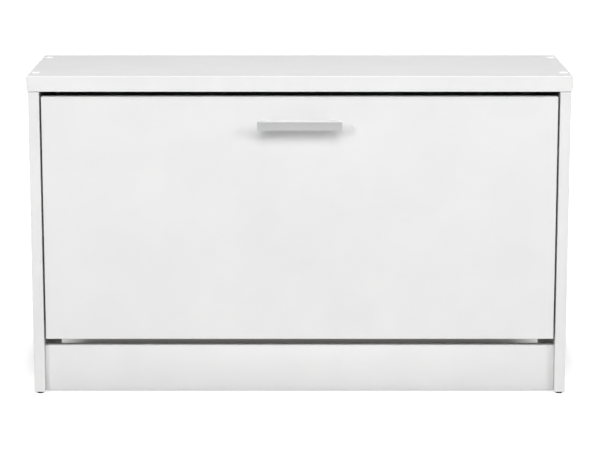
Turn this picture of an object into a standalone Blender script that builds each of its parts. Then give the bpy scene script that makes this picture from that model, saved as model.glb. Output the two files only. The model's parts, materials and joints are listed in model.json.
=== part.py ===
"""A bench that is also a low shoe cabinet: a boarded carcass with one tilt-out flap.

Metres, +Z up, +X to the right, the flap faces -Y. The origin is on the floor under the middle of the
object's box, handle included. Every solid is one piece of the real object.
"""

from math import atan2, cos, pi, radians, sin, sqrt, tan

import bmesh
import bpy
from mathutils import Vector

# ---- driving dimensions ----
AIR = 0.0003                # kept between two pieces that touch
SIDES = {"left": -1, "right": 1}

TOP_WIDTH = 0.760
TOP_DEPTH = 0.240
TOP_THICK = 0.022
TOP_OVERHANG = 0.0015       # past the side panels, at both ends and in front
BENCH_HEIGHT = 0.457
BOARD = 0.015               # side panels, flap, plinth and rear rail
EDGE_ROUND = 0.0008
GLIDE_HEIGHT = 0.0025

PLINTH_TOP_Z = 0.069
PLINTH_RECESS = 0.010
RAIL_LOW_Z = 0.032
RAIL_HEIGHT = 0.0665

BACK_THICK = 0.003
BACK_FROM_REAR = 0.008      # rear edge of the sides to the back panel
BACK_LOW_Z = 0.030          # the back stays open below, over a skirting board
GROOVE_DEPTH = 0.007

FLAP_WIDTH = 0.7215
FLAP_LOW_Z = 0.0805
FLAP_HEIGHT = 0.347

HANDLE_LENGTH = 0.118
HANDLE_BAR = (0.008, 0.0125)    # thickness, height
HANDLE_LEG = (0.010, 0.010)     # width, height
HANDLE_PITCH = 0.096
HANDLE_REACH = 0.024            # from the flap's face
HANDLE_BELOW_TOP = 0.0375       # flap's top edge to the middle of the bar

PIVOT_BEHIND_FACE = 0.028
PIVOT_Z = 0.120
OPENING_ANGLE = radians(48)

# ---- the carcass, worked out from them ----
BACK_Y = (TOP_DEPTH + HANDLE_REACH - TOP_OVERHANG) / 2
TOP_FRONT_Y = BACK_Y - TOP_DEPTH
FRONT_Y = TOP_FRONT_Y + TOP_OVERHANG
TOP_UNDER_Z = BENCH_HEIGHT - TOP_THICK
SIDE_OUT_X = TOP_WIDTH / 2 - TOP_OVERHANG
SIDE_IN_X = SIDE_OUT_X - BOARD
SIDE_MID_X = SIDE_OUT_X - BOARD / 2
SIDE_TOP_Z = TOP_UNDER_Z - AIR
RAIL_X = SIDE_IN_X - AIR                # half length of the plinth and the rear rail
PLINTH_MID_Y = FRONT_Y + PLINTH_RECESS + BOARD / 2
PLINTH_MID_Z = (GLIDE_HEIGHT + PLINTH_TOP_Z) / 2
BACK_PANEL_Y = BACK_Y - BACK_FROM_REAR - BACK_THICK / 2
RAIL_MID_Y = BACK_PANEL_Y - BACK_THICK / 2 - AIR - BOARD / 2
RAIL_MID_Z = RAIL_LOW_Z + RAIL_HEIGHT / 2
GROOVE_WIDTH = BACK_THICK + 2 * AIR
PIVOT_Y = FRONT_Y + PIVOT_BEHIND_FACE

# ---- the tray fitting, measured from the pivot: (y back, z up) ----
FLAP_REAR = BOARD - PIVOT_BEHIND_FACE   # the flap's rear face
BRACKET_AWAY = 0.0025                   # side panel to bracket
PLATE = 0.0025
PLATE_IN_X = SIDE_IN_X - BRACKET_AWAY - PLATE
RIM_HEIGHT, RIM_THICK = 0.0035, 0.0016
FLANGE_WIDTH = 0.016
CHANNEL_DEPTH, CHANNEL_WALL = 0.008, 0.0017
SAIL_RADIUS = 0.236
SAIL_FRONT, SAIL_LOW, SAIL_REAR = FLAP_REAR + AIR, -0.0275, 0.1925
HUB_RADIUS, HUB_DEPTH = 0.012, 0.002
PIN_RADIUS, PIN_PLAY, PIN_DEPTH = 0.004, 0.00015, 0.009
STOP_RADIUS, STOP_ANGLE = 0.060, radians(80)
TRAY_BOARD = 0.003
TRAY_BOARDS = {
    "front_row_floor": ((-0.0094, -0.020), (0.0822, -0.020)),
    "row_divider": ((0.0840, -0.025), (0.0960, 0.203)),
    "rear_row_floor": ((0.0884, 0.020), (0.1860, 0.020)),
    "rear_row_back": ((0.1880, 0.016), (0.1880, 0.128)),
}
FLANGE_SCREWS_Z = (0.010, 0.110, 0.210)

# ---- fasteners ----
CONNECTOR_SPREAD = 0.016        # dowel above and cam below the middle of a rail
CAM_RADIUS, CAM_DEPTH, CAM_INSET = 0.0072, 0.0115, 0.024
BOLT_IN_SIDE, BOLT_RADIUS, BOLT_NECK, BOLT_HEAD = 0.010, 0.0024, 0.0017, 0.0030
DOWEL_RADIUS, DOWEL_IN_SIDE, DOWEL_IN_RAIL = 0.0038, 0.0095, 0.0195
HOLE_PLAY = 0.0003              # a hole's radius over what goes in
HOLE_SPARE = 0.0005             # a hole's depth past what goes in
BOLT_RUN_RADIUS = 0.0034
SCREW_FROM_FRONT, SCREW_FROM_BACK = 0.038, 0.029
SCREW_LENGTH, SCREW_HEAD_RADIUS, SCREW_SHANK_RADIUS = 0.051, 0.0050, 0.0033
PILOT_RADIUS, PILOT_DEPTH = 0.0028, 0.030
CAP_RADIUS, CAP_SINK = 0.0059, 0.0013
GLIDE_RADIUS, GLIDE_INSET, NAIL_RADIUS, NAIL_LENGTH = 0.0048, 0.0068, 0.0010, 0.010
HANDLE_SCREW_RADIUS, HANDLE_SCREW_IN_LEG = 0.0020, 0.0080
FLANGE_SCREW_RADIUS, FLANGE_SCREW_DEPTH = 0.0013, 0.0110

FINISHES = {                    # colour, roughness, metallic
    "melamine": ((0.86, 0.86, 0.86), 0.42, 0.0),
    "hardboard": ((0.80, 0.80, 0.79), 0.50, 0.0),
    "cap": ((0.90, 0.90, 0.90), 0.25, 0.0),
    "handle": ((0.62, 0.62, 0.63), 0.32, 0.9),
    "fitting": ((0.74, 0.75, 0.76), 0.45, 0.0),
    "zinc": ((0.60, 0.60, 0.61), 0.35, 1.0),
    "beech": ((0.62, 0.46, 0.30), 0.70, 0.0),
    "glide": ((0.10, 0.10, 0.10), 0.50, 0.0),
}


# ---- making solids ----
def place(obj, finish, parent):
    """Links the object, and gives a piece its material; a cutter, with no finish, stays hidden."""
    bpy.context.scene.collection.objects.link(obj)
    obj.parent = parent
    if finish is None:
        obj.hide_render = True
        obj.display_type = "WIRE"
        return obj
    colour, roughness, metallic = FINISHES[finish]
    material = bpy.data.materials.new(obj.name)
    material.use_nodes = True
    shader = material.node_tree.nodes["Principled BSDF"]
    shader.inputs["Base Color"].default_value = (*colour, 1.0)
    shader.inputs["Roughness"].default_value = roughness
    shader.inputs["Metallic"].default_value = metallic
    obj.data.materials.append(material)
    return obj


def solid(name, bm, finish, parent, location, rotation=(0, 0, 0)):
    bmesh.ops.recalc_face_normals(bm, faces=bm.faces)
    mesh = bpy.data.meshes.new(name)
    bm.to_mesh(mesh)
    bm.free()
    obj = bpy.data.objects.new(name, mesh)
    obj.location = location
    obj.rotation_euler = rotation
    return place(obj, finish, parent)


def box(name, low, high, finish=None, parent=None, rotation=(0, 0, 0), edge=0.0):
    """A board from its lowest to its highest corner, turned about its middle, with rounded edges."""
    low, high = Vector(low), Vector(high)
    bm = bmesh.new()
    bmesh.ops.create_cube(bm, size=1.0)
    bmesh.ops.scale(bm, vec=high - low, verts=bm.verts)
    obj = solid(name, bm, finish, parent, (low + high) / 2, rotation)
    if edge:
        round_edges(obj, edge)
    return obj


def round_edges(obj, width, segments=2):
    bevel = obj.modifiers.new("edges", "BEVEL")
    bevel.width = width
    bevel.segments = segments
    bevel.limit_method = "ANGLE"
    bevel.angle_limit = radians(40)


ALONG_X, ALONG_MINUS_X = (0, pi / 2, 0), (0, -pi / 2, 0)
ALONG_Y, ALONG_MINUS_Y = (-pi / 2, 0, 0), (pi / 2, 0, 0)
UPWARDS, DOWNWARDS = (0, 0, 0), (pi, 0, 0)


def turned(name, profile, location, rotation=(0, 0, 0), finish=None, parent=None, sides=16):
    """A round solid: profile is its (radius, height) points from end to end, about its own Z."""
    bm = bmesh.new()
    outline = [bm.verts.new((radius, 0, height)) for radius, height in profile]
    edges = [bm.edges.new(pair) for pair in zip(outline, outline[1:])]
    bmesh.ops.spin(
        bm, geom=outline + edges, cent=(0, 0, 0), axis=(0, 0, 1), angle=2 * pi, steps=sides,
        use_merge=True,
    )
    bmesh.ops.holes_fill(bm, edges=bm.edges[:], sides=0)
    obj = solid(name, bm, finish, parent, location, rotation)
    obj.data.shade_smooth()
    obj.data.set_sharp_from_angle(angle=radians(35))
    return obj


def prism(name, outline, x_from, x_to, finish=None, parent=None):
    """A plate with this (y, z) outline."""
    bm = bmesh.new()
    face = bm.faces.new([bm.verts.new((x_from, y, z)) for y, z in outline])
    made = bmesh.ops.extrude_face_region(bm, geom=[face])["geom"]
    moved = [part for part in made if isinstance(part, bmesh.types.BMVert)]
    bmesh.ops.translate(bm, vec=(x_to - x_from, 0, 0), verts=moved)
    return solid(name, bm, finish, parent, (0, 0, 0))


def boolean(obj, operation, others):
    for other in others:
        modifier = obj.modifiers.new(other.name, "BOOLEAN")
        modifier.operation = operation
        modifier.object = other
        modifier.solver = "EXACT"


def cut(obj, *cutters):
    boolean(obj, "DIFFERENCE", cutters)


def join(obj, *helpers):
    boolean(obj, "UNION", helpers)


def hole(name, radius, depth, location, rotation, parent=None, sides=12):
    """A cutter for a round hole: it starts just outside the face at location and runs depth inwards."""
    start = -0.001
    profile = [(radius, start), (radius, depth)]
    return turned(name, profile, location, rotation, parent=parent, sides=sides)


def fitted_hole(name, radius, depth, location, rotation, parent=None):
    """A cutter for the hole that takes a pin of this radius to this depth."""
    return hole(name, radius + HOLE_PLAY, depth + HOLE_SPARE, location, rotation, parent)


# ---- outlines ----
def filleted(corners, steps=3):
    """The outline through (y, z, radius) corners, with an arc of that radius at each."""
    points = []
    for index, (y, z, radius) in enumerate(corners):
        here = Vector((y, z))
        before = Vector(corners[index - 1][:2]) - here
        after = Vector(corners[(index + 1) % len(corners)][:2]) - here
        if radius == 0:
            points.append(here)
            continue
        half = before.angle(after) / 2
        middle = (before.normalized() + after.normalized()).normalized()
        centre = here + middle * radius / sin(half)
        start = here + before.normalized() * radius / tan(half) - centre
        end = here + after.normalized() * radius / tan(half) - centre
        for step in range(steps + 1):
            spoke = start.lerp(end, step / steps)
            points.append(centre + spoke.normalized() * radius)
    return points


def inset(points, distance):
    """A closed outline moved inwards; its points run anticlockwise."""
    moved = []
    for index, here in enumerate(points):
        inwards = []
        for start, end in ((points[index - 1], here), (here, points[(index + 1) % len(points)])):
            along = (end - start).normalized()
            inwards.append(Vector((-along.y, along.x)))
        normal = inwards[0] + inwards[1]
        moved.append(here + normal * distance / (1 + inwards[0].dot(inwards[1])))
    return moved


def sail_outline():
    """The bracket's side view: straight along the flap, an arc about the pivot, and a stepped foot."""
    rear_top = atan2(sqrt(SAIL_RADIUS**2 - SAIL_REAR**2), SAIL_REAR)
    front_top = atan2(sqrt(SAIL_RADIUS**2 - SAIL_FRONT**2), SAIL_FRONT)
    steps = 12
    angles = [rear_top + (front_top - rear_top) * step / steps for step in range(steps + 1)]
    arc = [(SAIL_RADIUS * cos(a), SAIL_RADIUS * sin(a), 0) for a in angles]
    foot_end, step_up = 0.0915, 0.112
    step_z = 0.0125
    corners = [
        (SAIL_FRONT, SAIL_LOW, 0.002),
        (foot_end, SAIL_LOW, 0.008),
        (step_up, step_z, 0.010),
        (SAIL_REAR, step_z, 0.006),
        (*arc[0][:2], 0.004),
        *arc[1:-1],
        (*arc[-1][:2], 0.004),
    ]
    return filleted(corners)


def stop_track():
    """The slot that the stop pin runs in: an arc about the pivot with round ends."""
    half = PIN_RADIUS + HOLE_PLAY
    low, high = STOP_ANGLE - OPENING_ANGLE, STOP_ANGLE
    steps = 7
    points = []
    for step in range(steps + 1):
        a = low + (high - low) * step / steps
        points.append((cos(a) * (STOP_RADIUS + half), sin(a) * (STOP_RADIUS + half)))
    points += round_end(high, half)
    for step in range(steps + 1):
        a = high + (low - high) * step / steps
        points.append((cos(a) * (STOP_RADIUS - half), sin(a) * (STOP_RADIUS - half)))
    points += round_end(low + pi, half, low)
    return points


def round_end(turn, half, at=None):
    """The inner points of the half circle that closes the slot at an angle of the track."""
    at = turn if at is None else at
    centre = Vector((cos(at), sin(at))) * STOP_RADIUS
    steps = 6
    inner = [turn + pi * step / steps for step in range(1, steps)]
    return [(centre.x + half * cos(a), centre.y + half * sin(a)) for a in inner]


# ---- the carcass ----
def side_panel(word, side):
    """One side: grooved for the back panel and drilled for all that is fixed to it."""
    x_in, x_out = side * SIDE_IN_X, side * SIDE_OUT_X
    panel = box(
        f"side_panel_{word}",
        (min(x_in, x_out), FRONT_Y, GLIDE_HEIGHT),
        (max(x_in, x_out), BACK_Y, SIDE_TOP_Z),
        "melamine",
        edge=EDGE_ROUND,
    )
    outwards = ALONG_X if side > 0 else ALONG_MINUS_X
    groove_x = (side * (SIDE_IN_X - 0.002), side * (SIDE_IN_X + GROOVE_DEPTH))
    cut(
        panel,
        box(
            f"cut_side_groove_{word}",
            (min(groove_x), BACK_PANEL_Y - GROOVE_WIDTH / 2, 0),
            (max(groove_x), BACK_PANEL_Y + GROOVE_WIDTH / 2, BENCH_HEIGHT),
        ),
    )
    for what, (y, z) in pins().items():
        cut(panel, fitted_hole(f"cut_{what}_{word}", PIN_RADIUS, PIN_DEPTH, (x_in, y, z), outwards))
    for rail, (y, z) in rails().items():
        bolt_at, dowel_at = (x_in, y, z - CONNECTOR_SPREAD), (x_in, y, z + CONNECTOR_SPREAD)
        cut(
            panel,
            fitted_hole(f"cut_{rail}_bolt_{word}", BOLT_RADIUS, BOLT_IN_SIDE, bolt_at, outwards),
            fitted_hole(f"cut_{rail}_peg_{word}", DOWEL_RADIUS, DOWEL_IN_SIDE, dowel_at, outwards),
        )
    for where, y in screw_rows().items():
        at = (side * SIDE_MID_X, y, SIDE_TOP_Z)
        cut(panel, hole(f"cut_pilot_{where}_{word}", PILOT_RADIUS, PILOT_DEPTH, at, DOWNWARDS))
    for where, y in glide_rows().items():
        at = (side * SIDE_MID_X, y, GLIDE_HEIGHT)
        cut(panel, fitted_hole(f"cut_nail_{where}_{word}", NAIL_RADIUS, NAIL_LENGTH, at, UPWARDS))


def pins():
    """Where the hinge pin and the stop pin sit in a side panel."""
    stop_y = PIVOT_Y + STOP_RADIUS * cos(STOP_ANGLE)
    stop_z = PIVOT_Z + STOP_RADIUS * sin(STOP_ANGLE)
    return {"hinge_pin": (PIVOT_Y, PIVOT_Z), "stop_pin": (stop_y, stop_z)}


def rails():
    """The middle of each cross rail's end."""
    return {"plinth": (PLINTH_MID_Y, PLINTH_MID_Z), "rail": (RAIL_MID_Y, RAIL_MID_Z)}


def screw_rows():
    return {"front": TOP_FRONT_Y + SCREW_FROM_FRONT, "rear": BACK_Y - SCREW_FROM_BACK}


def glide_rows():
    """The glides sit close behind the front edge and close before the rear edge of a side panel."""
    return {"front": FRONT_Y + GLIDE_INSET, "rear": BACK_Y - GLIDE_INSET}


def top_panel():
    top = box(
        "top_panel",
        (-TOP_WIDTH / 2, TOP_FRONT_Y, TOP_UNDER_Z),
        (TOP_WIDTH / 2, BACK_Y, BENCH_HEIGHT),
        "melamine",
        edge=EDGE_ROUND,
    )
    half = SIDE_IN_X + GROOVE_DEPTH
    cut(
        top,
        box(
            "cut_top_groove",
            (-half, BACK_PANEL_Y - GROOVE_WIDTH / 2, TOP_UNDER_Z - 0.002),
            (half, BACK_PANEL_Y + GROOVE_WIDTH / 2, TOP_UNDER_Z + GROOVE_DEPTH),
        ),
    )
    # From above: the cap's counterbore, the screw head's seat, its cone, and the shank's clearance.
    cap, head, shank = (r + HOLE_PLAY for r in (CAP_RADIUS, SCREW_HEAD_RADIUS, SCREW_SHANK_RADIUS))
    seat_end, cone_end = -0.0030, -0.0054
    sunk = [
        (cap, 0.001), (cap, -CAP_SINK), (head, -CAP_SINK), (head, seat_end), (shank, cone_end),
        (shank, -TOP_THICK - 0.001),
    ]
    for word, side in SIDES.items():
        for where, y in screw_rows().items():
            at = (side * SIDE_MID_X, y, BENCH_HEIGHT)
            cut(top, turned(f"cut_seat_{where}_{word}", sunk, at))


def top_screw(word, side, where, y):
    """A long chipboard screw with a six-sided socket, and the domed cap that hides it."""
    at = (side * SIDE_MID_X, y, BENCH_HEIGHT)
    tip, thread, under = 0.0008, PILOT_RADIUS - HOLE_PLAY, -TOP_THICK + 0.0006
    head, shank = SCREW_HEAD_RADIUS, SCREW_SHANK_RADIUS
    body = [
        (tip, -SCREW_LENGTH), (thread, -SCREW_LENGTH + 0.004), (thread, under - 0.001), (shank, under),
        (shank, -0.0051), (head, -0.0028), (head, -CAP_SINK - AIR),
    ]
    screw = turned(f"top_screw_{where}_{word}", body, at, finish="zinc", sides=10)
    socket = [(0.0022, -0.0010), (0.0022, -0.0042)]
    cut(screw, turned(f"cut_socket_{where}_{word}", socket, at, sides=6))
    stem, rim = 0.0016, CAP_RADIUS
    dome = [
        (stem, -0.0037), (stem, -0.0012), (rim, -0.0010), (rim, 0.0003), (rim - 0.0005, 0.0006),
        (rim - 0.0018, 0.0009), (0.0012, 0.0010),
    ]
    turned(f"screw_cap_{where}_{word}", dome, at, finish="cap")


def glide(word, side, where, y):
    """A nailed-on glide: a plastic disc and its nail."""
    at = (side * SIDE_MID_X, y, 0)
    chamfer, top, tip = 0.0008, GLIDE_HEIGHT - AIR, 0.0003
    body = [
        (GLIDE_RADIUS - chamfer, 0), (GLIDE_RADIUS, chamfer), (GLIDE_RADIUS, top), (NAIL_RADIUS, top),
        (NAIL_RADIUS, GLIDE_HEIGHT + 0.8 * NAIL_LENGTH), (tip, GLIDE_HEIGHT + NAIL_LENGTH),
    ]
    turned(f"glide_{where}_{word}", body, at, finish="glide", sides=12)


def cross_rail(name, mid_y, low_z, high_z, cam_side):
    """A rail between the side panels; cam_side is +1 where its cam locks open to the rear."""
    rail = box(
        name,
        (-RAIL_X, mid_y - BOARD / 2, low_z),
        (RAIL_X, mid_y + BOARD / 2, high_z),
        "melamine",
        edge=EDGE_ROUND,
    )
    short = "plinth" if name == "plinth" else "rail"
    face_y = mid_y + cam_side * BOARD / 2
    into = ALONG_MINUS_Y if cam_side > 0 else ALONG_Y
    mid_z = (low_z + high_z) / 2
    for word, side in SIDES.items():
        end = side * RAIL_X
        cam_x = side * (SIDE_IN_X - CAM_INSET)
        inwards = ALONG_MINUS_X if side > 0 else ALONG_X
        bolt_z, dowel_z = mid_z - CONNECTOR_SPREAD, mid_z + CONNECTOR_SPREAD
        pocket = (CAM_RADIUS + HOLE_PLAY, CAM_DEPTH + HOLE_SPARE)
        dowel_at = (end, mid_y, dowel_z)
        cut(
            rail,
            hole(f"cut_{short}_pocket_{word}", *pocket, (cam_x, face_y, bolt_z), into, sides=16),
            hole(f"cut_{short}_run_{word}", BOLT_RUN_RADIUS, CAM_INSET, (end, mid_y, bolt_z), inwards),
            fitted_hole(f"cut_{short}_end_{word}", DOWEL_RADIUS, DOWEL_IN_RAIL, dowel_at, inwards),
        )
        cam_lock(short, word, side, (cam_x, face_y, bolt_z), into, mid_y)
        inner = side * SIDE_IN_X
        bolt = [
            (BOLT_RADIUS, -BOLT_IN_SIDE), (BOLT_RADIUS, -0.0004), (BOLT_NECK, -0.0002),
            (BOLT_NECK, CAM_INSET - 0.0022), (BOLT_HEAD, CAM_INSET - 0.0016),
            (BOLT_HEAD, CAM_INSET + 0.0014),
        ]
        turned(f"{short}_bolt_{word}", bolt, (inner, mid_y, bolt_z), inwards, "zinc", sides=10)
        nose, taper = DOWEL_RADIUS - 0.0007, 0.001
        dowel = [
            (nose, -DOWEL_IN_SIDE), (DOWEL_RADIUS, -DOWEL_IN_SIDE + taper),
            (DOWEL_RADIUS, DOWEL_IN_RAIL - taper), (nose, DOWEL_IN_RAIL),
        ]
        turned(f"{short}_dowel_{word}", dowel, (inner, mid_y, dowel_z), inwards, "beech", sides=10)
    return rail


def cam_lock(short, word, side, at, into, mid_y):
    """A turned cam: open on one side for the bolt's head, with a driver slot in its face."""
    x, y, z = at
    body = [(CAM_RADIUS, 0.0002), (CAM_RADIUS, CAM_DEPTH)]
    cam = turned(f"{short}_cam_{word}", body, at, into, "zinc")
    throat = 0.0035
    reach = sorted((x - side * 0.0020, x + side * 0.0100))
    slot = Vector((0.0045, 0.0014, 0.0006))
    cut(
        cam,
        box(
            f"cut_{short}_throat_{word}",
            (reach[0], mid_y - throat, z - throat),
            (reach[1], mid_y + throat, z + throat),
        ),
        box(f"cut_{short}_slot_{word}", Vector(at) - slot, Vector(at) + slot),
    )


def back_panel(rail):
    """Thin hardboard in the grooves of the sides and top, fixed to the rear rail by small screws."""
    half = SIDE_IN_X + GROOVE_DEPTH - 0.0005
    panel = box(
        "back_panel",
        (-half, BACK_PANEL_Y - BACK_THICK / 2, BACK_LOW_Z),
        (half, BACK_PANEL_Y + BACK_THICK / 2, TOP_UNDER_Z + GROOVE_DEPTH - 0.0005),
        "hardboard",
    )
    rear = BACK_PANEL_Y + BACK_THICK / 2
    head, shank, tip, length = 0.0032, 0.0014, 0.0004, 0.0155
    body = [
        (tip, -length + HOLE_SPARE), (shank, -length + 0.003), (shank, AIR), (head, AIR), (head, 0.0008),
        (head - 0.0010, 0.0018), (0.0010, 0.0021),
    ]
    spread = 0.29
    for where, x in {"left": -spread, "middle": 0.0, "right": spread}.items():
        at = (x, rear, RAIL_MID_Z)
        drill = fitted_hole(f"cut_back_{where}", shank, length, at, ALONG_MINUS_Y)
        cut(panel, drill)
        cut(rail, drill)
        turned(f"back_screw_{where}", body, at, ALONG_Y, "zinc", sides=8)


def pin(name, word, side, y, z, reach):
    """A plastic-collared steel pin: pressed into the side panel, with its free end reach inside it."""
    inwards = ALONG_MINUS_X if side > 0 else ALONG_X
    collar, seat = 0.0065, 0.0019
    body = [
        (PIN_RADIUS, -PIN_DEPTH), (PIN_RADIUS, AIR), (collar, AIR), (collar, seat), (PIN_RADIUS, seat),
        (PIN_RADIUS, reach - 0.0005), (PIN_RADIUS - 0.0005, reach),
    ]
    turned(f"{name}_{word}", body, (side * SIDE_IN_X, y, z), inwards, "zinc")


# ---- the flap and its tray, placed from the pivot ----
def flap_panel(pivot):
    low = FLAP_LOW_Z - PIVOT_Z
    flap = box(
        "flap_panel",
        (-FLAP_WIDTH / 2, -PIVOT_BEHIND_FACE, low),
        (FLAP_WIDTH / 2, FLAP_REAR, low + FLAP_HEIGHT),
        "melamine",
        pivot,
        edge=EDGE_ROUND,
    )
    for word, side in SIDES.items():
        at = (side * HANDLE_PITCH / 2, FLAP_REAR, handle_z())
        bore = (HANDLE_SCREW_RADIUS, BOARD + 0.002)
        cut(flap, fitted_hole(f"cut_flap_bolt_{word}", *bore, at, ALONG_MINUS_Y, pivot))
        for number, z in enumerate(FLANGE_SCREWS_Z, start=1):
            at = (side * flange_screw_x(), FLAP_REAR, z)
            pilot = (FLANGE_SCREW_RADIUS, FLANGE_SCREW_DEPTH)
            cut(flap, fitted_hole(f"cut_flap_screw_{word}_{number}", *pilot, at, ALONG_MINUS_Y, pivot))


def handle_z():
    return FLAP_LOW_Z - PIVOT_Z + FLAP_HEIGHT - HANDLE_BELOW_TOP


def flange_screw_x():
    return PLATE_IN_X + PLATE - FLANGE_WIDTH / 2 - 0.001


def handle(pivot):
    """A flat bar on two legs, drilled from behind for its screws."""
    thick, tall = HANDLE_BAR
    leg_wide, leg_tall = HANDLE_LEG
    face = -PIVOT_BEHIND_FACE
    z = handle_z()
    bar = box(
        "handle",
        (-HANDLE_LENGTH / 2, face - HANDLE_REACH, z - tall / 2),
        (HANDLE_LENGTH / 2, face - HANDLE_REACH + thick, z + tall / 2),
        "handle",
        pivot,
        edge=0.0012,
    )
    head, head_tall = 0.0040, 0.0026
    screw = [
        (head - 0.0006, head_tall), (head, head_tall - 0.0008), (head, AIR), (HANDLE_SCREW_RADIUS, AIR),
        (HANDLE_SCREW_RADIUS, -BOARD - HANDLE_SCREW_IN_LEG),
    ]
    for word, side in SIDES.items():
        x = side * HANDLE_PITCH / 2
        leg = box(
            f"add_leg_{word}",
            (x - leg_wide / 2, face - HANDLE_REACH + thick / 2, z - leg_tall / 2),
            (x + leg_wide / 2, face - AIR, z + leg_tall / 2),
            parent=pivot,
            edge=0.0010,
        )
        join(bar, leg)
        bore = (HANDLE_SCREW_RADIUS, HANDLE_SCREW_IN_LEG + HOLE_SPARE)
        cut(bar, fitted_hole(f"cut_leg_{word}", *bore, (x, face, z), ALONG_MINUS_Y, pivot))
        at = (x, FLAP_REAR, z)
        bolt = turned(f"handle_screw_{word}", screw, at, ALONG_Y, "zinc", pivot, sides=12)
        slot_at, slot = Vector((x, FLAP_REAR + head_tall, z)), Vector((0.0025, 0.0014, 0.0005))
        cut(bolt, box(f"cut_handle_slot_{word}", slot_at - slot, slot_at + slot, parent=pivot))


def tray_piece(name, start, end, thick, x_from, x_to, finish=None, parent=None):
    """A flat strip whose middle line runs from start to end, seen from the side."""
    start, end = Vector(start), Vector(end)
    middle, along = (start + end) / 2, end - start
    return box(
        name,
        (x_from, middle.x - along.length / 2, middle.y - thick / 2),
        (x_to, middle.x + along.length / 2, middle.y + thick / 2),
        finish,
        parent,
        rotation=(atan2(along.y, along.x), 0, 0),
    )


def stretched(start, end, by):
    """Both ends of a strip's middle line moved outwards."""
    start, end = Vector(start), Vector(end)
    along = (end - start).normalized() * by
    return start - along, end + along


def tray_bracket(word, side, pivot):
    """One moulded sail-shaped bracket: rimmed plate, flange, hub, stop slot and board channels."""
    outer = side * (PLATE_IN_X + PLATE)
    inner = side * PLATE_IN_X
    outline = sail_outline()
    bracket = prism(
        f"tray_bracket_{word}", outline, outer, inner - side * RIM_HEIGHT, "fitting", pivot
    )
    floor = inner - side * (RIM_HEIGHT + 0.001)
    cut(bracket, prism(f"cut_sail_{word}", inset(outline, RIM_THICK), inner, floor, parent=pivot))
    flange_x = sorted((outer - side * 0.0004, outer - side * FLANGE_WIDTH))
    flange_top = max(point.y for point in outline) - 0.006
    flange = box(
        f"add_flange_{word}",
        (flange_x[0], SAIL_FRONT, SAIL_LOW + 0.003),
        (flange_x[1], SAIL_FRONT + PLATE, flange_top),
        parent=pivot,
    )
    toward_middle = ALONG_MINUS_X if side > 0 else ALONG_X
    hub = turned(
        f"add_hub_{word}",
        [(HUB_RADIUS, -PLATE / 2), (HUB_RADIUS, HUB_DEPTH)],
        (inner, 0, 0),
        toward_middle,
        parent=pivot,
        sides=24,
    )
    join(bracket, flange, hub)
    block = TRAY_BOARD + 2 * HOLE_PLAY + 2 * CHANNEL_WALL
    channel_x = sorted((inner + side * PLATE / 2, inner - side * CHANNEL_DEPTH))
    slot_x = sorted((inner + side * HOLE_PLAY, inner - side * (CHANNEL_DEPTH + 0.002)))
    slots = []
    for name, (start, end) in TRAY_BOARDS.items():
        longer = stretched(start, end, CHANNEL_WALL)
        join(bracket, tray_piece(f"add_{name}_{word}", *longer, block, *channel_x, parent=pivot))
        room = stretched(start, end, HOLE_PLAY)
        wide = TRAY_BOARD + 2 * HOLE_PLAY
        slots.append(tray_piece(f"cut_{name}_{word}", *room, wide, *slot_x, parent=pivot))
    cut(bracket, *slots)
    through = sorted((outer + side * 0.002, inner - side * 0.0006))
    cut(
        bracket,
        prism(f"cut_track_{word}", stop_track(), *through, parent=pivot),
        hole(
            f"cut_hub_{word}", PIN_RADIUS + PIN_PLAY, PLATE + HUB_DEPTH + 0.002, (outer, 0, 0),
            toward_middle, pivot, sides=20,
        ),
    )
    tip, shank, head = 0.0004, FLANGE_SCREW_RADIUS, 0.0032
    screw = [
        (tip, -FLANGE_SCREW_DEPTH), (shank, -FLANGE_SCREW_DEPTH + 0.002), (shank, PLATE + AIR),
        (head, PLATE + 2 * AIR), (head, PLATE + 0.0012), (head - 0.0012, PLATE + 0.0024),
    ]
    for number, z in enumerate(FLANGE_SCREWS_Z, start=1):
        at = (side * flange_screw_x(), FLAP_REAR, z)
        cut(bracket, hole(f"cut_flange_{word}_{number}", shank + 0.0004, 2 * PLATE, at, ALONG_Y, pivot))
        turned(f"bracket_screw_{word}_{number}", screw, at, ALONG_Y, "zinc", pivot, sides=8)


def tray_boards(pivot):
    for name, (start, end) in TRAY_BOARDS.items():
        tray_piece(name, start, end, TRAY_BOARD, -PLATE_IN_X, PLATE_IN_X, "hardboard", pivot)


def build():
    for old in list(bpy.data.objects):
        bpy.data.objects.remove(old, do_unlink=True)
    pivot = bpy.data.objects.new("flap_pivot", None)
    pivot.location = (0, PIVOT_Y, PIVOT_Z)
    bpy.context.scene.collection.objects.link(pivot)

    top_panel()
    cross_rail("plinth", PLINTH_MID_Y, GLIDE_HEIGHT, PLINTH_TOP_Z, cam_side=1)
    rail = cross_rail("rear_rail", RAIL_MID_Y, RAIL_LOW_Z, RAIL_LOW_Z + RAIL_HEIGHT, cam_side=-1)
    back_panel(rail)
    flap_panel(pivot)
    handle(pivot)
    tray_boards(pivot)
    for word, side in SIDES.items():
        side_panel(word, side)
        tray_bracket(word, side, pivot)
        for where, y in screw_rows().items():
            top_screw(word, side, where, y)
        for where, y in glide_rows().items():
            glide(word, side, where, y)
        for name, (y, z) in pins().items():
            through_hub = BRACKET_AWAY + PLATE + (HUB_DEPTH if name == "hinge_pin" else -0.0004)
            pin(name, word, side, y, z, through_hub)


build()
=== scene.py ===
"""The looks of the shoe-cabinet bench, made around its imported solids.

Metres, in the frame of the solids: +Z up, the flap faces -Y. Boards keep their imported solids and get
finishes; the handle, fittings and fasteners are replaced by finer pieces, placed by the solids' boxes.
"""

import json
from math import cos, pi, radians, sin

import bmesh
import bpy
from mathutils import Matrix, Vector


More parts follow.
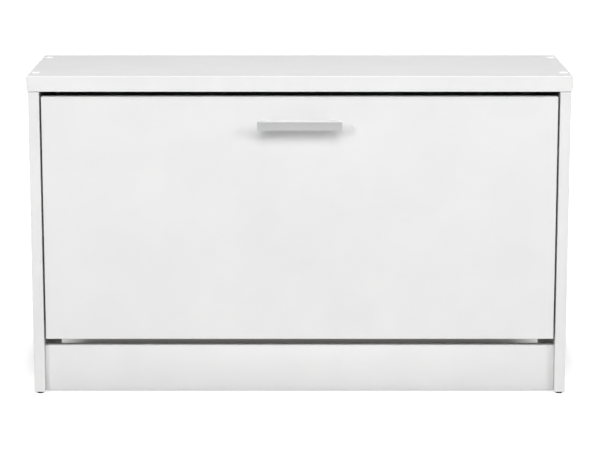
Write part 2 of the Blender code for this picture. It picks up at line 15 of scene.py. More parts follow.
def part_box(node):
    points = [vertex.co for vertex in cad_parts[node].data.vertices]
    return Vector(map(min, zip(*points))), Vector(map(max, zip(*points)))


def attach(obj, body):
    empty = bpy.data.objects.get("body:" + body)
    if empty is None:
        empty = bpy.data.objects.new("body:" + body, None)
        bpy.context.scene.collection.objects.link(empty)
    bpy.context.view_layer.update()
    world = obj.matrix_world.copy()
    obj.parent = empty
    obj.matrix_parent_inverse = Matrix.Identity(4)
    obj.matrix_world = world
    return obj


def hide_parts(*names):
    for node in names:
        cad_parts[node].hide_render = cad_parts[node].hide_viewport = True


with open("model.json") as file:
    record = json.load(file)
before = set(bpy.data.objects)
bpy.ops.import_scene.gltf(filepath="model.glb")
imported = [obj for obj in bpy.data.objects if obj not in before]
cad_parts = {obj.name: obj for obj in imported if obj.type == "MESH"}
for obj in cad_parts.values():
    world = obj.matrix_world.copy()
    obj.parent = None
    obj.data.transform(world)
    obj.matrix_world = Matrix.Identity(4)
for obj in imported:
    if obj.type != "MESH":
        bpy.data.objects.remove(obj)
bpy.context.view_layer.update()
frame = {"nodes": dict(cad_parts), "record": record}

BODY_OF = {node: body for body, nodes in frame["record"]["behaviour"]["bodies"].items() for node in nodes}
SIDES = ("left", "right")
LEFT, RIGHT, FRONT, REAR, DOWN, UP = (-1, 0, 0), (1, 0, 0), (0, -1, 0), (0, 1, 0), (0, 0, -1), (0, 0, 1)
X, Y, Z = 0, 1, 2


# ---- finishes ----
WHITE_FOIL = ((0.800, 0.801, 0.800), (0.822, 0.822, 0.820))
SEAM = (0.42, 0.41, 0.39)
EDGE_BAND, HAIRLINE = 0.0008, 0.00012       # an edge band's thickness, and its glue line's width
CHIP_DARK, CHIP_LIGHT, CHIP_FLAKE = (0.30, 0.19, 0.10), (0.52, 0.37, 0.22), (0.66, 0.51, 0.33)
FIBRE = ((0.37, 0.235, 0.135), (0.48, 0.32, 0.195))
BEECH_TONES = ((0.44, 0.28, 0.15), (0.60, 0.42, 0.25))
CALM, LIVELY = (0.35, 0.65), (0.3, 0.7)     # the stretch of a noise that a finish uses


def add_node(tree, kind, inputs, **settings):
    """Adds a shader node; each input, by name or number, is a socket to link or a plain value."""
    node = tree.nodes.new(kind)
    for key, value in settings.items():
        setattr(node, key, value)
    for socket, value in inputs.items():
        if isinstance(value, bpy.types.NodeSocket):
            tree.links.new(value, node.inputs[socket])
        else:
            node.inputs[socket].default_value = value
    return node


class Finish:
    """A node material in the making: its shader, and short calls for the nodes that feed it."""

    def __init__(self, name, **fixed):
        self.material = bpy.data.materials.new(name)
        self.material.use_nodes = True
        self.tree = self.material.node_tree
        self.shader = self.tree.nodes["Principled BSDF"]
        for socket, value in fixed.items():
            self.shader.inputs[socket.replace("_", " ")].default_value = value
        coordinates = self.tree.nodes.new("ShaderNodeTexCoord")
        self.place, self.facing = coordinates.outputs["Object"], coordinates.outputs["Normal"]

    def add(self, kind, inputs, **settings):
        return add_node(self.tree, kind, inputs, **settings)

    def stretched(self, per_metre, grain):
        """The place on the object in cells, that many to the metre, drawn out where grain is below 1."""
        scale = [per_metre * share for share in grain]
        return self.add("ShaderNodeMapping", {"Vector": self.place, "Scale": scale}).outputs[0]

    def noise(self, per_metre, detail=2.0, grain=(1, 1, 1)):
        """Smooth noise from 0 to 1."""
        inputs = {"Vector": self.stretched(per_metre, grain), "Scale": 1.0, "Detail": detail}
        return self.add("ShaderNodeTexNoise", inputs).outputs["Fac"]

    def cells(self, per_metre, grain=(1, 1, 1)):
        """A random value from 0 to 1 for each cell."""
        inputs = {"Vector": self.stretched(per_metre, grain), "Scale": 1.0}
        colour = self.add("ShaderNodeTexVoronoi", inputs).outputs["Color"]
        return self.add("ShaderNodeSeparateColor", {"Color": colour}).outputs[0]

    def math(self, operation, first, second):
        return self.add("ShaderNodeMath", {0: first, 1: second}, operation=operation).outputs[0]

    def weigh(self, first, share, second):
        """A weighted mean of two values: first has that share."""
        shares = [self.math("MULTIPLY", first, share), self.math("MULTIPLY", second, 1 - share)]
        return self.math("ADD", *shares)

    def span(self, value, low, high, to_low=0.0, to_high=1.0):
        """Turns low to high into to_low to to_high, and holds them past the ends."""
        inputs = {"Value": value, "From Min": low, "From Max": high, "To Min": to_low, "To Max": to_high}
        return self.add("ShaderNodeMapRange", inputs).outputs[0]

    def blend(self, factor, first, second):
        """Two values mixed: the first where the factor is 0."""
        return self.add("ShaderNodeMix", {0: factor, 2: first, 3: second}).outputs[0]

    def mix(self, factor, first, second):
        """Two colours mixed; each is a socket or three numbers."""
        inputs = {0: factor}
        for socket, value in ((6, first), (7, second)):
            inputs[socket] = value if isinstance(value, bpy.types.NodeSocket) else (*value, 1.0)
        return self.add("ShaderNodeMix", inputs, data_type="RGBA").outputs[2]

    def colour(self, value):
        self.tree.links.new(value, self.shader.inputs["Base Color"])

    def roughness(self, value):
        self.tree.links.new(value, self.shader.inputs["Roughness"])

    def bump(self, height, depth):
        """Raises the surface by up to depth metres where height is 1."""
        node = self.add("ShaderNodeBump", {"Height": height, "Strength": 1.0, "Distance": depth})
        self.tree.links.new(node.outputs[0], self.shader.inputs["Normal"])

    def faces(self, *directions):
        """1 on the faces that look one of these ways, in the solid's own frame."""
        total = None
        for direction in directions:
            dot = self.add(
                "ShaderNodeVectorMath", {0: self.facing, 1: direction}, operation="DOT_PRODUCT"
            ).outputs["Value"]
            here = self.span(dot, 0.70, 0.80)
            total = here if total is None else self.math("MAXIMUM", total, here)
        return total

    def seams(self, node, edges):
        """1 on the hairline between a board's foil and its edge band, for each banded edge (axis, end)."""
        low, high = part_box(node)
        split = self.add("ShaderNodeSeparateXYZ", {"Vector": self.place})
        total = None
        for axis, end in edges:
            at = high[axis] - EDGE_BAND if end > 0 else low[axis] + EDGE_BAND
            away = self.math("ABSOLUTE", self.math("SUBTRACT", split.outputs[axis], at), 0.0)
            here = self.span(away, HAIRLINE / 2, HAIRLINE, 1.0, 0.0)
            total = here if total is None else self.math("MAXIMUM", total, here)
        return total



def white_foil(finish):
    """White melamine: barely mottled, with a fine pearl grain that breaks its sheen."""
    tone = finish.mix(finish.span(finish.noise(14, 3), *CALM), *WHITE_FOIL)
    grain = finish.noise(1500, 2)
    peel = finish.noise(260, 2)
    height = finish.weigh(grain, 0.45, peel)
    rough = finish.span(finish.noise(90, 3), *LIVELY, 0.34, 0.43)
    return tone, height, rough


def chipboard(finish):
    """The raw edge of a board: pressed flakes, lighter slivers and dark gaps."""
    flakes = finish.cells(520, (1, 1, 0.45))
    base = finish.mix(flakes, CHIP_DARK, CHIP_LIGHT)
    slivers = finish.span(finish.noise(700, 3, (0.5, 1, 0.25)), 0.58, 0.66)
    return finish.mix(slivers, base, CHIP_FLAKE), flakes


def board_finish(name, node, raw, banded):
    """A melamine board: white foil and edge bands, and raw chipboard on the faces that look along raw."""
    seam_strength, raw_rough, flake_height = 0.5, 0.88, 4.0
    finish = Finish(name, Specular_IOR_Level=0.35)
    tone, height, rough = white_foil(finish)
    lined = finish.mix(finish.math("MULTIPLY", finish.seams(node, banded), seam_strength), tone, SEAM)
    if raw:
        bare = finish.faces(*raw)
        chips, flakes = chipboard(finish)
        lined = finish.mix(bare, lined, chips)
        rough = finish.blend(bare, rough, raw_rough)
        height = finish.blend(bare, height, finish.math("MULTIPLY", flakes, flake_height))
    finish.colour(lined)
    finish.roughness(rough)
    finish.bump(height, 0.00003)
    return finish.material


def hardboard_finish(name, white):
    """Thin hardboard: white foil on the faces that look along white, raw brown fibre elsewhere."""
    raw_rough = 0.72
    finish = Finish(name, Specular_IOR_Level=0.4)
    tone, height, rough = white_foil(finish)
    fibre = finish.noise(900, 4, (0.25, 1, 1))
    cloud = finish.noise(22, 3)
    brown = finish.mix(finish.span(finish.weigh(fibre, 0.6, cloud), *CALM), *FIBRE)
    coated = finish.faces(*white)
    finish.colour(finish.mix(coated, brown, tone))
    finish.roughness(finish.blend(coated, raw_rough, rough))
    finish.bump(finish.blend(coated, fibre, height), 0.00004)
    return finish.material


def plastic_finish(name, light, dark, rough, grain, depth, **fixed):
    """Moulded plastic: an even colour with a spark-eroded grain."""
    finish = Finish(name, **fixed)
    finish.colour(finish.mix(finish.span(finish.noise(60, 3), *LIVELY), dark, light))
    spots = finish.noise(grain, 2)
    finish.roughness(finish.span(spots, *LIVELY, rough - 0.05, rough + 0.05))
    finish.bump(spots, depth)
    return finish.material


def metal_finish(name, light, dark, rough, grain, stretch, depth, **fixed):
    """Metal with a brushed or bead-blasted grain, and tone that wanders a little."""
    finish = Finish(name, **{"Metallic": 1.0, **fixed})
    brush = finish.noise(grain, 3, stretch)
    cloud = finish.noise(45, 2)
    both = finish.weigh(brush, 0.7, cloud)
    finish.colour(finish.mix(finish.span(both, *LIVELY), dark, light))
    finish.roughness(finish.span(both, *LIVELY, rough - 0.06, rough + 0.06))
    finish.bump(brush, depth)
    return finish.material


def beech_finish():
    """Beech, its grain along X."""
    finish = Finish("beech", Specular_IOR_Level=0.3)
    grain = finish.noise(2400, 4, (0.03, 1, 1))
    finish.colour(finish.mix(finish.span(grain, *LIVELY), *BEECH_TONES))
    finish.roughness(finish.span(grain, *LIVELY, 0.55, 0.75))
    finish.bump(grain, 0.00006)
    return finish.material


CAP = plastic_finish(
    "cap", (0.98, 0.98, 0.98), (0.96, 0.96, 0.96), 0.30, 900, 0.000004, Specular_IOR_Level=0.25
)
FITTING = plastic_finish("fitting", (0.66, 0.67, 0.68), (0.62, 0.63, 0.64), 0.46, 2600, 0.00002)
GLIDE = plastic_finish("glide", (0.045, 0.045, 0.047), (0.032, 0.032, 0.034), 0.45, 1800, 0.00001)
SILVER = metal_finish(
    "silver", (0.74, 0.74, 0.743), (0.70, 0.70, 0.703), 0.38, 2600, (0.02, 1, 1), 0.000008, Metallic=0.45
)
ZINC = metal_finish("zinc", (0.66, 0.66, 0.67), (0.50, 0.50, 0.52), 0.34, 1400, (1, 1, 1), 0.00001)
BEECH = beech_finish()


def dress(node, material):
    """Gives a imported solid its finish."""
    slots = frame["nodes"][node].data.materials
    slots.clear()
    slots.append(material)


def dress_boards():
    """Finishes for the boards and for the cam locks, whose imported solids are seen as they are."""
    for word in SIDES:
        node = f"side_panel_{word}"
        dress(node, board_finish(node, node, (REAR, DOWN, UP), [(Y, -1)]))
    dress("top_panel", board_finish("top_panel", "top_panel", (REAR,), [(Y, -1), (X, -1), (X, 1)]))
    around = [(X, -1), (X, 1), (Z, -1), (Z, 1)]
    dress("flap_panel", board_finish("flap_panel", "flap_panel", (), around))
    dress("back_panel", hardboard_finish("back_panel", (FRONT,)))
    floors = hardboard_finish("tray_floors", (UP, DOWN))
    walls = hardboard_finish("tray_walls", (FRONT, REAR))
    for node in ("front_row_floor", "rear_row_floor"):
        dress(node, floors)
    for node in ("row_divider", "rear_row_back"):
        dress(node, walls)
    for rail in ("plinth", "rail"):
        for word in SIDES:
            dress(f"{rail}_cam_{word}", ZINC)


# ---- making pieces ----
SMOOTH_UP_TO = radians(35)          # sharper edges than this stay crisp
SAME_POINT, SAME_PLANE = 1e-6, radians(0.5)
CUT_PAST = 0.001                    # how far a cutter runs past the surface it opens
RAIL_PULL = 0.00026                 # what closes a rail's joint, out of the 0.3 mm kept in the solids
RAIL_END = 0.001                    # the length at each end of a rail that is drawn out by it


def piece(name, bm, material, slot, *nodes):
    """Links a finished mesh, smooth but for its sharp edges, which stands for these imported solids."""
    bmesh.ops.recalc_face_normals(bm, faces=bm.faces)
    mesh = bpy.data.meshes.new(name)
    bm.to_mesh(mesh)
    bm.free()
    mesh.shade_smooth()
    mesh.set_sharp_from_angle(angle=SMOOTH_UP_TO)
    mesh.materials.append(material)
    obj = bpy.data.objects.new(name, mesh)
    bpy.context.scene.collection.objects.link(obj)
    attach(obj, BODY_OF[nodes[0]])
    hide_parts(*nodes)
    return obj


def towards(axis, sign):
    """The turn that takes +Z to this way along an axis."""
    way = Vector((0, 0, 0))
    way[axis] = sign
    return way.to_track_quat("Z", "Y").to_matrix().to_4x4()


def spun(bm, profile, matrix, sides=48):
    """Adds a turned solid: profile is its (radius, height) points from end to end, about its own Z."""
    outline = [bm.verts.new((radius, 0, height)) for radius, height in profile]
    made = outline + [bm.edges.new(pair) for pair in zip(outline, outline[1:])]
    bmesh.ops.spin(bm, geom=made, cent=(0, 0, 0), axis=UP, angle=2 * pi, steps=sides, use_merge=True)
    bmesh.ops.holes_fill(bm, edges=[edge for edge in bm.edges if edge.is_boundary], sides=0)
    bmesh.ops.transform(bm, matrix=matrix, verts=bm.verts)


def arc(centre, radius, start, end, steps=6):
    """Points of an arc in a profile, from one angle to another, in degrees."""
    turn = (radians(start + (end - start) * step / steps) for step in range(steps + 1))
    return [(centre[0] + radius * cos(a), centre[1] + radius * sin(a)) for a in turn]


def copy_of(node):
    """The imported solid's mesh, its flat faces whole again."""
    bm = bmesh.new()
    bm.from_mesh(frame["nodes"][node].data)
    bmesh.ops.remove_doubles(bm, verts=bm.verts, dist=SAME_POINT)
    bmesh.ops.dissolve_limit(bm, angle_limit=SAME_PLANE, verts=bm.verts, edges=bm.edges)
    return bm


def tight_rails():
    """The plinth and the rear rail, drawn tight against the side panels by their cam locks."""
    for node in ("plinth", "rear_rail"):
        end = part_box(node)[1].x - RAIL_END
        bm = copy_of(node)
        for vertex in bm.verts:
            if abs(vertex.co.x) > end:
                vertex.co.x += RAIL_PULL if vertex.co.x > 0 else -RAIL_PULL
        finish = board_finish(node, node, (LEFT, RIGHT), [(Z, 1), (Z, -1)])
        piece(f"{node}_board", bm, finish, "melamine", node)


def block(low, high, edge=0.0):
    """A box between two corners, its edges rounded."""
    low, high = Vector(low), Vector(high)
    bm = bmesh.new()
    bmesh.ops.create_cube(bm, size=1.0)
    bmesh.ops.scale(bm, vec=high - low, verts=bm.verts)
    bmesh.ops.translate(bm, vec=(low + high) / 2, verts=bm.verts)
    if edge:
        bmesh.ops.bevel(bm, geom=bm.edges[:], offset=edge, segments=3, profile=0.5, affect="EDGES")
    return bm


def helper(bm):
    """A passing object for a Boolean."""
    bmesh.ops.recalc_face_normals(bm, faces=bm.faces)
    mesh = bpy.data.meshes.new("helper")
    bm.to_mesh(mesh)
    bm.free()
    obj = bpy.data.objects.new("helper", mesh)
    bpy.context.scene.collection.objects.link(obj)
    return obj


def worked(base, operation, *tools):
    """The mesh joined with, or cut by, each of the tools in turn."""
    body = helper(base)
    passing = [helper(tool) for tool in tools]
    for tool in passing:
        modifier = body.modifiers.new("work", "BOOLEAN")
        modifier.operation = operation
        modifier.object = tool
    shaped = body.evaluated_get(bpy.context.evaluated_depsgraph_get())
    bm = bmesh.new()
    bm.from_mesh(shaped.to_mesh())
    shaped.to_mesh_clear()
    for obj in (body, *passing):
        bpy.data.objects.remove(obj, do_unlink=True)
    return bm


def seat(node, axis, sign):
    """The place of a turned piece: +Z runs out along the axis, from the middle of the solid's outer end."""
    low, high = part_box(node)
    at = (low + high) / 2
    at[axis] = high[axis] if sign > 0 else low[axis]
    return Matrix.Translation(at) @ towards(axis, sign)


def extent(node, axis):
    """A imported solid's size along an axis."""
    low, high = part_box(node)
    return high[axis] - low[axis]


def thread(core, crest, start, end, pitch):
    """The profile of a screw's thread between two heights, as rings."""
    turns = round((end - start) / pitch)
    step = (end - start) / turns
    points = []
    for turn in range(turns):
        foot = start + step * turn
        points += [(core, foot + 0.1 * step), (crest, foot + 0.5 * step), (core, foot + 0.9 * step)]
    return points


# ---- the fine pieces ----
CAP_RIM, CAP_BRIM = 0.0065, 0.0005  # the brim's radius and its edge's radius; it hides the sinking
CAP_STEM, CAP_PLUG = 0.0016, 0.0010     # radius of the stem in the screw, and depth of the plug round it
CAP_RISE, CAP_EASE = 0.0010, 0.0002     # the dome's height, and the softening of the corners below it
CAP_CLEAR = 0.00005                 # under the brim


def screw_caps():
    """Moulded caps over the top's screws: a stem and plug, a thin brim with a soft edge, a shallow dome."""
    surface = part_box("top_panel")[1].z + CAP_CLEAR
    for where in ("front", "rear"):
        for word in SIDES:
            node = f"screw_cap_{where}_{word}"
            low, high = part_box(node)
            middle = (low + high) / 2
            plug = (high.x - low.x) / 2
            profile = [(CAP_STEM, low.z), (CAP_STEM, surface - CAP_PLUG - CAP_EASE)]
            profile += [(plug, surface - CAP_PLUG), (plug, surface), (CAP_RIM - CAP_EASE, surface)]
            profile += arc((CAP_RIM - CAP_BRIM, surface + CAP_BRIM / 2), CAP_BRIM, -30, 70, 4)
            reach, crown = profile[-1]
            rise = surface + CAP_RISE - crown
            dome = [radians(12 * ring) for ring in range(1, 8)]
            profile += [(reach * cos(angle), crown + rise * sin(angle)) for angle in dome]
            bm = bmesh.new()
            spun(bm, profile, Matrix.Translation((middle.x, middle.y, 0)))
            piece(f"cap_{where}_{word}", bm, CAP, "cap", node)


HANDLE_BAR = 0.008                  # from front to rear
HANDLE_LEG, LEG_EDGE = 0.010, 0.0009    # across its square legs, and their edges' radius
HANDLE_BORE, BORE_SPARE = 0.0023, 0.0003    # its radius, and its depth past the screw
BAR_RADII = (0.0022, 0.0010, 0.0010, 0.0008)    # lower front, lower rear, upper rear, upper front
BAR_END_EDGE = 0.0004


def bar(low, high, radii):
    """A bar along X whose four long edges each have their own radius."""
    corners = (
        (low.y, low.z, 1, 1),
        (high.y, low.z, -1, 1),
        (high.y, high.z, -1, -1),
        (low.y, high.z, 1, -1),
    )
    outline = []
    for quarter, ((y, z, back, up), radius) in enumerate(zip(corners, radii)):
        start = 180 + 90 * quarter
        outline += arc((y + back * radius, z + up * radius), radius, start, start + 90)
    bm = bmesh.new()
    face = bm.faces.new([bm.verts.new((low.x, y, z)) for y, z in outline])
    made = bmesh.ops.extrude_face_region(bm, geom=[face])["geom"]
    moved = [part for part in made if isinstance(part, bmesh.types.BMVert)]
    bmesh.ops.translate(bm, vec=(high.x - low.x, 0, 0), verts=moved)
    rims = [edge for edge in bm.edges if abs(edge.verts[0].co.x - edge.verts[1].co.x) < SAME_POINT]
    bmesh.ops.bevel(bm, geom=rims, offset=BAR_END_EDGE, segments=3, profile=0.5, affect="EDGES")
    return bm


def handle():
    """A flat bar on two square legs, one casting, bored from behind for its screws."""
    low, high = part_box("handle")
    mid_z = (low.z + high.z) / 2
    half = Vector((HANDLE_LEG / 2, 0, HANDLE_LEG / 2))
    legs, bores = [], []
    for word in SIDES:
        screw_low, screw_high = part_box(f"handle_screw_{word}")
        x = (screw_low.x + screw_high.x) / 2
        inside_bar = Vector((x, low.y + HANDLE_BAR / 2, mid_z))
        on_flap = Vector((x, high.y, mid_z))
        legs.append(block(inside_bar - half, on_flap + half, LEG_EDGE))
        bore = bmesh.new()
        depth = high.y - screw_low.y + BORE_SPARE
        place = Matrix.Translation(on_flap) @ towards(Y, 1)
        spun(bore, [(HANDLE_BORE, CUT_PAST), (HANDLE_BORE, -depth)], place, 24)
        bores.append(bore)
    rail = bar(low, Vector((high.x, low.y + HANDLE_BAR, high.z)), BAR_RADII)
    bm = worked(worked(rail, "UNION", *legs), "DIFFERENCE", *bores)
    piece("handle_casting", bm, SILVER, "handle", "handle")


# ---- fasteners and fittings: (head's height, thread's radius, pitch) for the pan screws ----
BRACKET_SCREW = (0.0021, 0.0013, 0.0012)
HANDLE_SCREW = (0.0026, 0.0020, 0.0007)
BACK_SCREW = (0.0018, 0.0014, 0.0013)


def pan_screw(node, head, shank, pitch):
    """A wood or machine screw: a pan head with a cross recess, and its thread."""
    radius, length = extent(node, X) / 2, extent(node, Y)
    core, tip, crown = shank * 0.8, 2 * shank, head * 0.55
    neck, soft = 0.0005, 0.0001             # left plain under the head, and off the head's corner
    profile = [(shank * 0.25, -length), (core, tip - length)]
    profile += thread(core, shank, tip - length, -head - neck, pitch)
    profile += [(shank, -head), (radius - soft, -head), (radius, soft - head)]
    dome = [radians(15 * ring) for ring in range(6)]
    profile += [(radius * cos(angle), crown * sin(angle) - crown) for angle in dome]
    blank = bmesh.new()
    spun(blank, profile, Matrix.Identity(4), 32)
    wing, half, deep = radius * 0.55, radius * 0.12, head * 0.7
    cross = [block((-x, -y, -deep), (x, y, CUT_PAST)) for x, y in ((wing, half), (half, wing))]
    bm = worked(blank, "DIFFERENCE", *cross)
    bmesh.ops.transform(bm, matrix=seat(node, Y, 1), verts=bm.verts)
    piece(f"{node}_cross_head", bm, ZINC, "zinc", node)


def top_screw(node):
    """A chipboard connecting screw: a sunk cone head with a six-sided socket, shank and coarse thread."""
    radius, length = extent(node, X) / 2, extent(node, Z)
    shank, core, crest, pitch = 0.0033, 0.0021, 0.0027, 0.0028
    point, tip = 0.0008, 0.004              # the end's radius, and the taper from it to the core
    thread_top, run_out = 0.0205, 0.0003    # below the head's face, and up from there to the shank
    cone_foot, cone_top, soft = 0.0036, 0.0014, 0.0002
    socket_radius, socket_depth = 0.0022, 0.0029
    profile = [(point, -length), (core, tip - length)]
    profile += thread(core, crest, tip - length, -thread_top, pitch)
    profile += [(shank, run_out - thread_top), (shank, -cone_foot)]
    profile += [(radius, -cone_top), (radius, -soft), (radius - soft, 0.0)]
    blank = bmesh.new()
    spun(blank, profile, Matrix.Identity(4), 32)
    socket = bmesh.new()
    spun(socket, [(socket_radius, CUT_PAST), (socket_radius, -socket_depth)], Matrix.Identity(4), 6)
    bm = worked(blank, "DIFFERENCE", socket)
    bmesh.ops.transform(bm, matrix=seat(node, Z, 1), verts=bm.verts)
    piece(f"{node}_threaded", bm, ZINC, "zinc", node)


def cam_bolt(node, inwards):
    """A cam lock's bolt: screwed into the side panel, a collar, a slim neck and a ball head."""
    length, head = extent(node, X), extent(node, Y) / 2
    point, core, crest, pitch = 0.0012, 0.0019, 0.0024, 0.0015
    neck, soft = 0.0017, 0.0012             # the neck's radius, and the head's rounding
    root = 0.0015 - length
    seated = 0.010 - length                 # the side panel's face
    profile = [(point, -length), (core, root)]
    profile += thread(core, crest, root, seated - 0.0008, pitch)
    profile += [(crest, seated - 0.0006), (crest, seated - 0.0001), (neck, seated + 0.0003)]
    profile += [(neck, -0.0042), (crest, -0.0036)]
    profile += arc((head - soft, -soft), soft, -50, 80)
    bm = bmesh.new()
    spun(bm, profile, seat(node, X, inwards), 32)
    piece(f"{node}_threaded", bm, ZINC, "zinc", node)


def dowel(node):
    """A grooved beech dowel with chamfered ends."""
    grooves, sides_each, deep = 18, 4, 0.00022
    chamfer_along, chamfer_across = 0.001, 0.0008
    radius, length = extent(node, Y) / 2, extent(node, X)
    nose, straight = radius - chamfer_across, length / 2 - chamfer_along
    profile = [(nose, -length / 2), (radius, -straight), (radius, straight), (nose, length / 2)]
    bm = bmesh.new()
    spun(bm, profile, Matrix.Identity(4), grooves * sides_each)
    for vertex in bm.verts:
        across = Vector(vertex.co.xy)
        if across.length > nose + chamfer_across / 2:
            turn = across.angle_signed(Vector((1, 0)))
            vertex.co.xy = across * (1 - deep / radius * (0.5 - 0.5 * cos(grooves * turn)))
    low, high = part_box(node)
    place = Matrix.Translation((low + high) / 2) @ towards(X, 1)
    bmesh.ops.transform(bm, matrix=place, verts=bm.verts)
    piece(f"{node}_grooved", bm, BEECH, "beech", node)


def bearing_pin(node, inwards):
    """A steel pin that the flap's bracket turns or slides on, with its collar against the side panel."""
    radius, collar, length = 0.004, extent(node, Y) / 2, extent(node, X)
    chamfer, tip, soft, fillet = 0.0006, 0.0007, 0.0004, 0.0002     # radii, and the corner by the collar
    foot = 0.0093 - length                  # the collar's face on the side panel
    top = foot + 0.0016
    profile = [(radius - chamfer, -length), (radius, chamfer - length), (radius, foot), (collar, foot)]
    profile += arc((collar - soft, top - soft), soft, 0, 90, 4)
    profile += [(radius + fillet, top), (radius, top + fillet)]
    profile += arc((radius - tip, -tip), tip, 0, 90, 5)
    bm = bmesh.new()
    spun(bm, profile, seat(node, X, inwards))
    piece(f"{node}_turned", bm, ZINC, "zinc", node)


def glide(node):
    """A nailed-on glide: a disc with a rounded foot, and the nail moulded into it."""
    radius, length = extent(node, X) / 2, extent(node, Z)
    tall, soft, ease = 0.0022, 0.0008, 0.0002   # the disc, its foot's rounding and its upper edge's
    nail, nail_end, nail_taper = 0.0010, 0.0002, 0.002
    profile = arc((radius - soft, -soft), soft, 90, 0, 5)
    profile += [(radius, ease - tall), (radius - ease, -tall), (nail, -tall)]
    profile += [(nail, nail_taper - length), (nail_end, -length)]
    bm = bmesh.new()
    spun(bm, profile, seat(node, Z, -1))
    piece(f"{node}_moulded", bm, GLIDE, "glide", node)


def tray_bracket(node):
    """The moulded bracket, its edges eased as a mould leaves them."""
    eased, corner = 0.0003, radians(50)
    bm = copy_of(node)
    sharp = [edge for edge in bm.edges if len(edge.link_faces) == 2 and edge.calc_face_angle() > corner]
    bmesh.ops.bevel(
        bm, geom=sharp, offset=eased, segments=2, profile=0.5, affect="EDGES", clamp_overlap=True
    )
    piece(f"{node}_moulded", bm, FITTING, "fitting", node)


def fasteners():
    """Everything that joins the boards, carries the flap or keeps the sides off the floor."""
    for where in ("front", "rear"):
        for word in SIDES:
            top_screw(f"top_screw_{where}_{word}")
            glide(f"glide_{where}_{word}")
    for word, inwards in (("left", 1), ("right", -1)):
        for rail in ("plinth", "rail"):
            cam_bolt(f"{rail}_bolt_{word}", inwards)
            dowel(f"{rail}_dowel_{word}")
        for pin in ("hinge_pin", "stop_pin"):
            bearing_pin(f"{pin}_{word}", inwards)
        for number in (1, 2, 3):
            pan_screw(f"bracket_screw_{word}_{number}", *BRACKET_SCREW)
        pan_screw(f"handle_screw_{word}", *HANDLE_SCREW)
        tray_bracket(f"tray_bracket_{word}")
    for where in ("left", "middle", "right"):
        pan_screw(f"back_screw_{where}", *BACK_SCREW)


# ---- studio and camera ----
CAMERA_AT = (0.0005, -3.307, 0.8747)
CAMERA_TILT = radians(11.12)        # down from level
LENS = 138.9

FLOOR_HALF = 30.0
FLOOR_PALE, FLOOR_BOUNCE = (0.40, 0.40, 0.40), (0.55, 0.55, 0.55)   # as seen, and as it lights the bench
OPEN_GLOW, PAINTED_SHADOW_GLOW = (0.78, 0.95), 0.005   # round the bench and far from it, and in the painted shadow close behind it, where the glow is nearly off
OPEN_GLOW_SPAN = (0.42, 1.2)        # from the middle of the bench, where the first turns to the second
PAINTED_SHADOW_ASIDE = (0.33, 0.42)            # either way along X, where the painted shadow on the floor ends
PAINTED_SHADOW_FROM, PAINTED_SHADOW_TO = (-0.03, 0.10), (0.22, 0.70)  # along Y, where the painted shadow behind the bench comes and goes
SKY_BY_HEIGHT = {"From Max": 0.9, "To Min": 0.03, "To Max": 0.27}        # from the horizon to overhead
SKY_BY_DEPTH = {"From Min": -0.2, "From Max": 0.6, "To Min": 1.15, "To Max": 0.60}   # front to rear
LIGHTS_AIM = (0, 0, 0.25)
LIGHTS = {      # azimuth, elevation, distance, wide, tall, watts, and whether reflections show it
    "key": (50, 23, 2.6, 0.6, 0.6, 13.6, False),
    "fill": (-36, 22, 2.8, 0.6, 0.6, 17.8, False),
    "front": (5, 40, 3.2, 3.0, 0.9, 50.5, False),
    "top": (0, 83, 2.4, 1.6, 0.35, 25.0, True),
    "rear": (180, 6, 3.2, 2.6, 0.4, 8.0, True),
}


def floor():
    """A plain pale floor; it glows for the camera alone, all round but for a painted shadow behind the
    bench, where the glow is nearly off.
    """
    bm = bmesh.new()
    bmesh.ops.create_grid(bm, x_segments=1, y_segments=1, size=FLOOR_HALF)
    mesh = bpy.data.meshes.new("floor")
    bm.to_mesh(mesh)
    bm.free()
    finish = Finish("floor", Roughness=0.9, Specular_IOR_Level=0.1)
    seen = finish.add("ShaderNodeLightPath", {}).outputs["Is Camera Ray"]
    finish.colour(finish.mix(seen, FLOOR_BOUNCE, FLOOR_PALE))
    split = finish.add("ShaderNodeSeparateXYZ", {"Vector": finish.place})
    # painted shadow: a patch behind the bench where the camera's glow is turned nearly off, so the floor
    # there reads dark
    aside = finish.span(finish.math("ABSOLUTE", split.outputs["X"], 0.0), *PAINTED_SHADOW_ASIDE, 1.0, 0.0)
    behind = finish.math("MULTIPLY", finish.span(split.outputs["Y"], *PAINTED_SHADOW_FROM), aside)
    painted_shadow = finish.math("MULTIPLY", finish.span(split.outputs["Y"], *PAINTED_SHADOW_TO, 1.0, 0.0), behind)
    away = finish.add("ShaderNodeVectorMath", {0: finish.place}, operation="LENGTH").outputs["Value"]
    shaded = finish.blend(painted_shadow, finish.span(away, *OPEN_GLOW_SPAN, *OPEN_GLOW), PAINTED_SHADOW_GLOW)
    glow = finish.math("MULTIPLY", shaded, seen)
    finish.shader.inputs["Emission Color"].default_value = (1, 1, 1, 1)
    finish.tree.links.new(glow, finish.shader.inputs["Emission Strength"])
    mesh.materials.append(finish.material)
    obj = bpy.data.objects.new("floor", mesh)
    bpy.context.scene.collection.objects.link(obj)


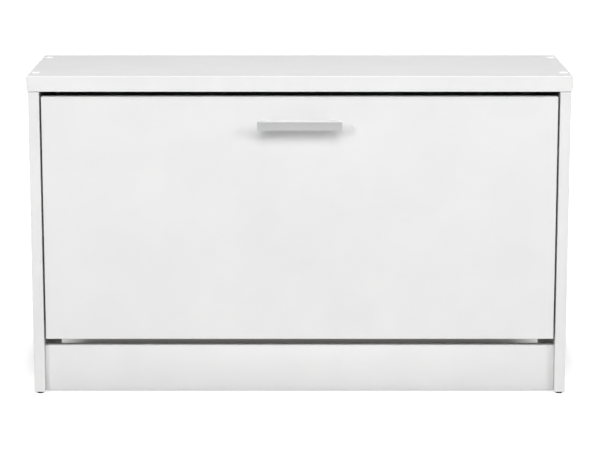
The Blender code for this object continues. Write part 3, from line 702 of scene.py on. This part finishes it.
def soft_light(name, azimuth, elevation, distance, wide, tall, watts, reflected):
    """A soft box that looks at the bench; azimuth 0 is straight in front, + is to the right."""
    data = bpy.data.lights.new(name, "AREA")
    data.energy = watts
    data.shape = "RECTANGLE"
    data.size = wide
    data.size_y = tall
    obj = bpy.data.objects.new(name, data)
    turn, rise = radians(azimuth), radians(elevation)
    way = Vector((sin(turn) * cos(rise), -cos(turn) * cos(rise), sin(rise)))
    obj.location = Vector(LIGHTS_AIM) + way * distance
    obj.rotation_euler = way.to_track_quat("Z", "Y").to_euler()
    obj.visible_glossy = reflected
    bpy.context.scene.collection.objects.link(obj)


def studio():
    """Soft light from in front, both sides, overhead and low behind, in a surround that looks white."""
    world = bpy.data.worlds.new("studio")
    world.use_nodes = True
    tree = world.node_tree
    place = add_node(tree, "ShaderNodeTexCoord", {}).outputs["Generated"]
    way = add_node(tree, "ShaderNodeSeparateXYZ", {0: place})
    by_height = add_node(tree, "ShaderNodeMapRange", {"Value": way.outputs["Z"], **SKY_BY_HEIGHT}).outputs[0]
    by_depth = add_node(tree, "ShaderNodeMapRange", {"Value": way.outputs["Y"], **SKY_BY_DEPTH}).outputs[0]
    sky = add_node(tree, "ShaderNodeMath", {0: by_height, 1: by_depth}, operation="MULTIPLY").outputs[0]
    seen = add_node(tree, "ShaderNodeLightPath", {}).outputs["Is Camera Ray"]
    strength = add_node(tree, "ShaderNodeMix", {0: seen, 2: sky, 3: 1.0}).outputs[0]
    background = tree.nodes["Background"].inputs
    background["Color"].default_value = (1, 1, 1, 1)
    tree.links.new(strength, background["Strength"])
    bpy.context.scene.world = world
    bpy.context.scene.view_settings.view_transform = "Standard"
    for name, light in LIGHTS.items():
        soft_light(name, *light)
    floor()


def camera():
    """In front of the bench and above it, as a person would stand, with a long lens."""
    data = bpy.data.cameras.new("camera")
    data.lens = LENS
    obj = bpy.data.objects.new("camera", data)
    obj.location = CAMERA_AT
    obj.rotation_euler = (pi / 2 - CAMERA_TILT, 0, 0)
    bpy.context.scene.collection.objects.link(obj)
    bpy.context.scene.camera = obj


def main():
    camera()
    studio()
    dress_boards()
    tight_rails()
    screw_caps()
    handle()
    fasteners()


main()
